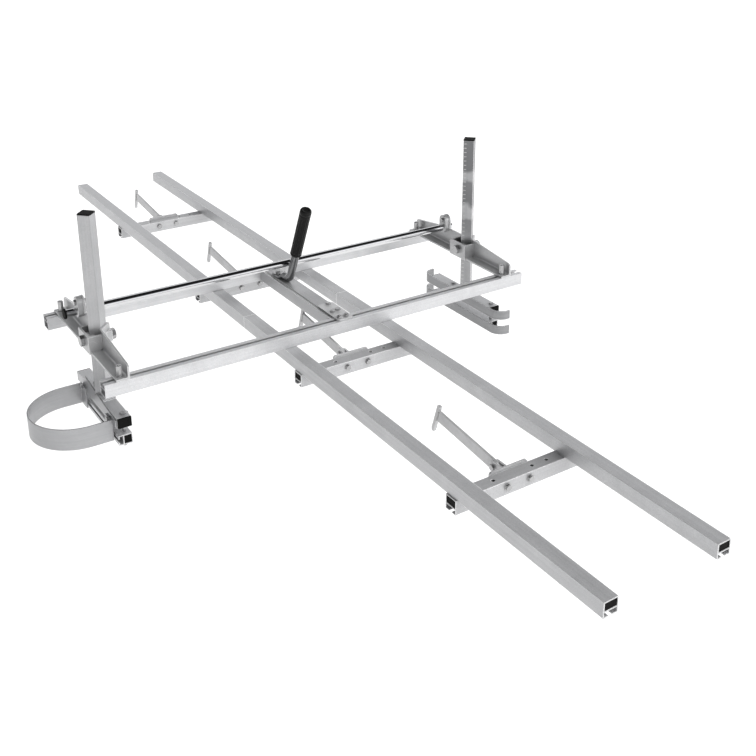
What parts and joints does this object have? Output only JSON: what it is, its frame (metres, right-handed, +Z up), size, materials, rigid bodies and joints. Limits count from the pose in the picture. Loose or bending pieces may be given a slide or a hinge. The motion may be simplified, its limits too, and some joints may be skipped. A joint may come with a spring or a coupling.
{
  "type": "chainsaw mill",
  "caption": "Chainsaw mill: a sliding two-rail frame with height posts and guide-bar clamps, on a long rail guide carried by crossbars with hinged dogs.",
  "frame": {"origin": "middle of the guide, between its rails, at the height of the log's top (the crossbars' undersides)", "axes": "+X across the guide to the end with the bumper bars, +Y along the guide to its far end, +Z up"},
  "size_m": [1.3466, 2.7432, 0.5735],
  "materials": {
    "aluminium": "clear anodised, satin",
    "bare_steel": "dark zinc, satin",
    "zinc_plated": "bright zinc plate",
    "black_plastic": "matt",
    "grip_rubber": "soft, satin",
    "polished_bar": "polished"
  },
  "bodies": {
    "guide": {"guide_rail_left_near": "aluminium", "guide_rail_left_far": "aluminium", "guide_rail_right_near": "aluminium", "guide_rail_right_far": "aluminium", "splice_bars": "bare_steel", "splice_screws": "zinc_plated", "crossbar_1": "aluminium", "crossbar_2": "aluminium", "crossbar_3": "aluminium", "crossbar_4": "aluminium", "crossbar_bolts": "zinc_plated", "dog_base_1": "bare_steel", "dog_base_2": "bare_steel", "dog_base_3": "bare_steel", "dog_base_4": "bare_steel", "dog_base_bolts": "zinc_plated", "dog_pivots": "zinc_plated"},
    "dog_1": {"dog_arm_1": "bare_steel"},
    "dog_2": {"dog_arm_2": "bare_steel"},
    "dog_3": {"dog_arm_3": "bare_steel"},
    "dog_4": {"dog_arm_4": "bare_steel"},
    "carriage": {"mill_rail_front": "aluminium", "mill_rail_rear": "aluminium", "centre_beam": "aluminium", "beam_plate": "zinc_plated", "beam_cleat": "zinc_plated", "carriage_bolts": "zinc_plated", "handle_tube": "bare_steel", "handle_grip": "grip_rubber"},
    "left_bracket": {"bracket_left": "bare_steel", "bar_collar_left": "bare_steel", "post_strap_left": "bare_steel", "post_screws_left": "zinc_plated", "post_pad_left": "bare_steel", "bracket_bolts_left": "zinc_plated"},
    "right_bracket": {"bracket_right": "bare_steel", "bar_collar_right": "bare_steel", "post_strap_right": "bare_steel", "post_screws_right": "zinc_plated", "post_pad_right": "bare_steel", "bracket_bolts_right": "zinc_plated", "cross_bar": "polished_bar", "cross_bar_cap": "black_plastic"},
    "left_post": {"post_left": "aluminium", "end_caps_left": "black_plastic", "clamp_tube_left": "aluminium", "clamp_bolts_left": "zinc_plated", "nose_guard": "zinc_plated", "guard_plate": "zinc_plated", "guard_bolts": "zinc_plated"},
    "left_jaw": {"clamp_jaw_left": "aluminium", "jaw_nuts_left": "zinc_plated"},
    "right_post": {"post_right": "aluminium", "end_caps_right": "black_plastic", "clamp_tube_right": "aluminium", "clamp_bolts_right": "zinc_plated", "bumper_upper": "zinc_plated"},
    "right_jaw": {"clamp_jaw_right": "aluminium", "bumper_lower": "zinc_plated", "jaw_nuts_right": "zinc_plated"}
  },
  "joints": [
    {"name": "carriage_slide", "type": "slide", "parent": "guide", "child": "carriage", "axis": [0, 1, 0], "range_m": [-1.12, 1.12]},
    {"name": "left_bracket_slide", "type": "slide", "parent": "carriage", "child": "left_bracket", "axis": [1, 0, 0], "range_m": [-0.02, 0.33]},
    {"name": "right_bracket_slide", "type": "slide", "parent": "carriage", "child": "right_bracket", "axis": [1, 0, 0], "range_m": [-0.33, 0.02]},
    {"name": "left_post_height", "type": "slide", "parent": "left_bracket", "child": "left_post", "axis": [0, 0, 1], "range_m": [-0.275, 0.075]},
    {"name": "right_post_height", "type": "slide", "parent": "right_bracket", "child": "right_post", "axis": [0, 0, 1], "range_m": [-0.285, 0.065]},
    {"name": "left_jaw_slide", "type": "slide", "parent": "left_post", "child": "left_jaw", "axis": [0, 0, 1], "range_m": [-0.004, 0.019]},
    {"name": "right_jaw_slide", "type": "slide", "parent": "right_post", "child": "right_jaw", "axis": [0, 0, 1], "range_m": [-0.004, 0.019]},
    {"name": "dog_1_hinge", "type": "hinge", "parent": "guide", "child": "dog_1", "pos_m": [0, -0.88, 0.0165], "axis": [1, 0, 0], "range_deg": [-80, 0]},
    {"name": "dog_2_hinge", "type": "hinge", "parent": "guide", "child": "dog_2", "pos_m": [0, -0.243, 0.0165], "axis": [1, 0, 0], "range_deg": [-80, 0]},
    {"name": "dog_3_hinge", "type": "hinge", "parent": "guide", "child": "dog_3", "pos_m": [0, 0.363, 0.0165], "axis": [1, 0, 0], "range_deg": [-80, 0]},
    {"name": "dog_4_hinge", "type": "hinge", "parent": "guide", "child": "dog_4", "pos_m": [0, 1, 0.0165], "axis": [1, 0, 0], "range_deg": [-80, 0]}
  ]
}
